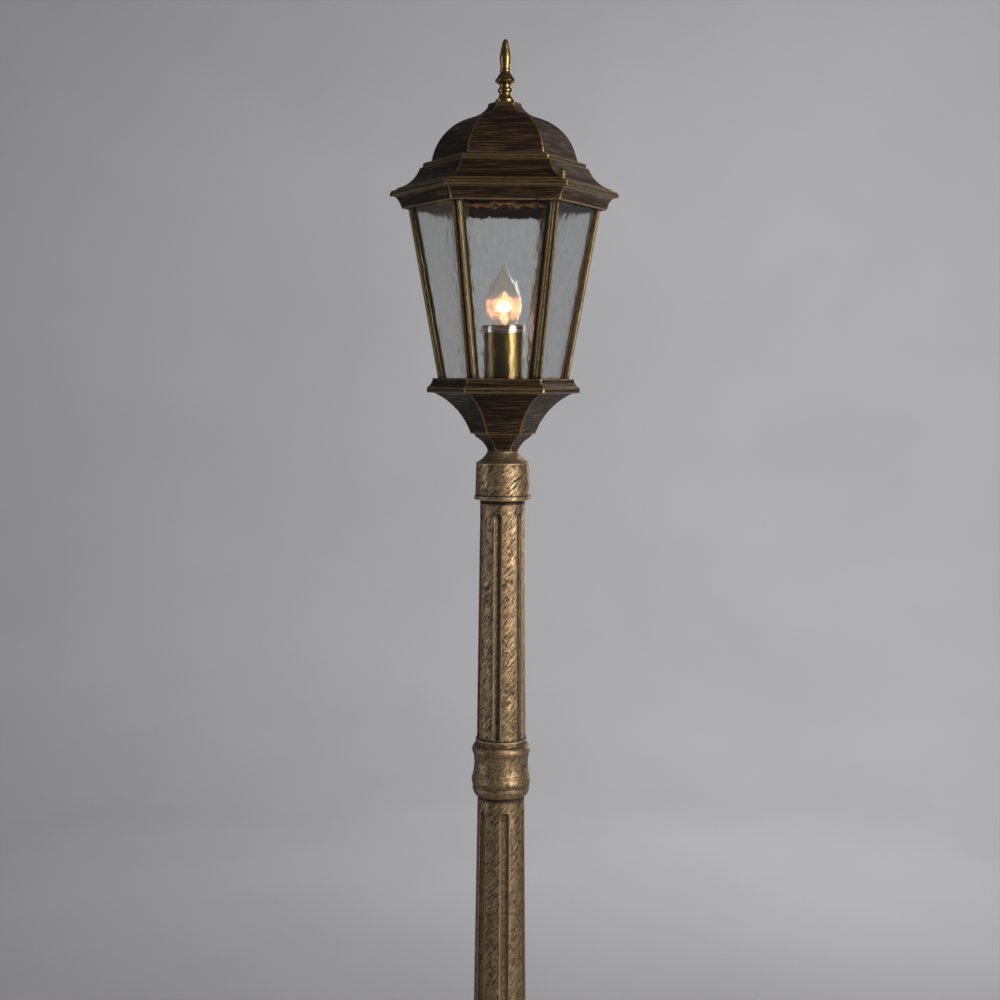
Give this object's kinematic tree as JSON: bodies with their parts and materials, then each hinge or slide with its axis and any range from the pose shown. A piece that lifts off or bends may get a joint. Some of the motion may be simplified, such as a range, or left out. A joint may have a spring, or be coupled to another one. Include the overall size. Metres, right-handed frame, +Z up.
{
  "type": "street lamp post",
  "caption": "Antique-style street lamp post: a six-sided glazed lantern with a lift-off domed roof, on a fluted tapering post with moulded couplers and a bolted bell base.",
  "frame": {"origin": "middle of the base flange's underside, on the ground", "axes": "+Z up along the post; lantern corners lie on +X and -X and every 60 degrees between; the front faces -Y"},
  "size_m": [0.23, 0.22, 2.05],
  "materials": {
    "antiqued_lantern": "black-brown coat dry-brushed with gold along the faces, worn bright on the corner ridges",
    "antiqued_post": "dark coat cross-brushed with gold bronze, dark in the flutes",
    "polished_gold": "polished antique gold",
    "hammered_glass": "clear water glass with a rippled face and greenish edges",
    "lamp_glass": "clear blown glass",
    "satin_brass": "satin antique brass tube",
    "nickel_ring": "bright nickel",
    "zinc_steel": "zinc plated steel",
    "contact_brass": "bare brass",
    "lamp_cap_metal": "rolled screw shell",
    "holder_phenolic": "moulded phenolic",
    "black_glass": "black vitrite insulator",
    "white_ceramic": "glazed steatite",
    "black_rubber": "moulded rubber",
    "filament": "glowing coiled wire"
  },
  "bodies": {
    "post": {"lantern_bowl": "antiqued_lantern", "top_ring": "antiqued_lantern", "glazing_bar_1": "antiqued_lantern", "glazing_bar_2": "antiqued_lantern", "glazing_bar_3": "antiqued_lantern", "glazing_bar_4": "antiqued_lantern", "glazing_bar_5": "antiqued_lantern", "glazing_bar_6": "antiqued_lantern", "base_casting": "antiqued_post", "post_lower": "antiqued_post", "coupler_lower": "antiqued_post", "post_middle": "antiqued_post", "coupler_upper": "antiqued_post", "post_upper": "antiqued_post", "fitter_collar": "antiqued_post", "glass_pane_1": "hammered_glass", "glass_pane_2": "hammered_glass", "glass_pane_3": "hammered_glass", "glass_pane_4": "hammered_glass", "glass_pane_5": "hammered_glass", "glass_pane_6": "hammered_glass", "candle_sleeve": "satin_brass", "sleeve_ring": "nickel_ring", "terminal_bracket": "zinc_steel", "bracket_screws": "zinc_steel", "base_nipple": "zinc_steel", "lower_nipple": "zinc_steel", "upper_nipple": "zinc_steel", "lamp_pipe": "zinc_steel", "lamp_pipe_nuts": "zinc_steel", "tray_plate": "zinc_steel", "bar_screws_lower": "zinc_steel", "bar_screws_upper": "zinc_steel", "roof_studs": "zinc_steel", "terminal_screws": "contact_brass", "earth_screw": "contact_brass", "lampholder_shell": "contact_brass", "lampholder_contact": "contact_brass", "lampholder_body": "holder_phenolic", "supply_terminal_block": "white_ceramic", "roof_gasket": "black_rubber", "inner_cable": "black_rubber"},
    "roof": {"roof_shell": "antiqued_lantern", "finial": "polished_gold", "finial_stud": "zinc_steel", "finial_nut": "zinc_steel"},
    "cap_nut_front": {"cap_nut_front": "polished_gold"},
    "cap_nut_back": {"cap_nut_back": "polished_gold"},
    "bulb": {"bulb_glass": "lamp_glass", "bulb_cap": "lamp_cap_metal", "bulb_insulator": "black_glass", "bulb_contact": "contact_brass", "bulb_stem": "lamp_glass", "bulb_lead_wires": "zinc_steel", "bulb_filament": "filament"}
  },
  "joints": [
    {"name": "roof_lift", "type": "slide", "parent": "post", "child": "roof", "axis": [0, 0, 1], "range_m": [0, 0.2]},
    {"name": "cap_nut_front_turn", "type": "hinge", "parent": "roof", "child": "cap_nut_front", "pos_m": [0.05275, -0.09137, 1.905], "axis": [0, 0, 1], "continuous": true},
    {"name": "cap_nut_back_turn", "type": "hinge", "parent": "roof", "child": "cap_nut_back", "pos_m": [-0.05275, 0.09137, 1.905], "axis": [0, 0, 1], "continuous": true},
    {"name": "bulb_turn", "type": "hinge", "parent": "post", "child": "bulb", "pos_m": [0, 0, 1.75], "axis": [0, 0, 1], "continuous": true}
  ]
}
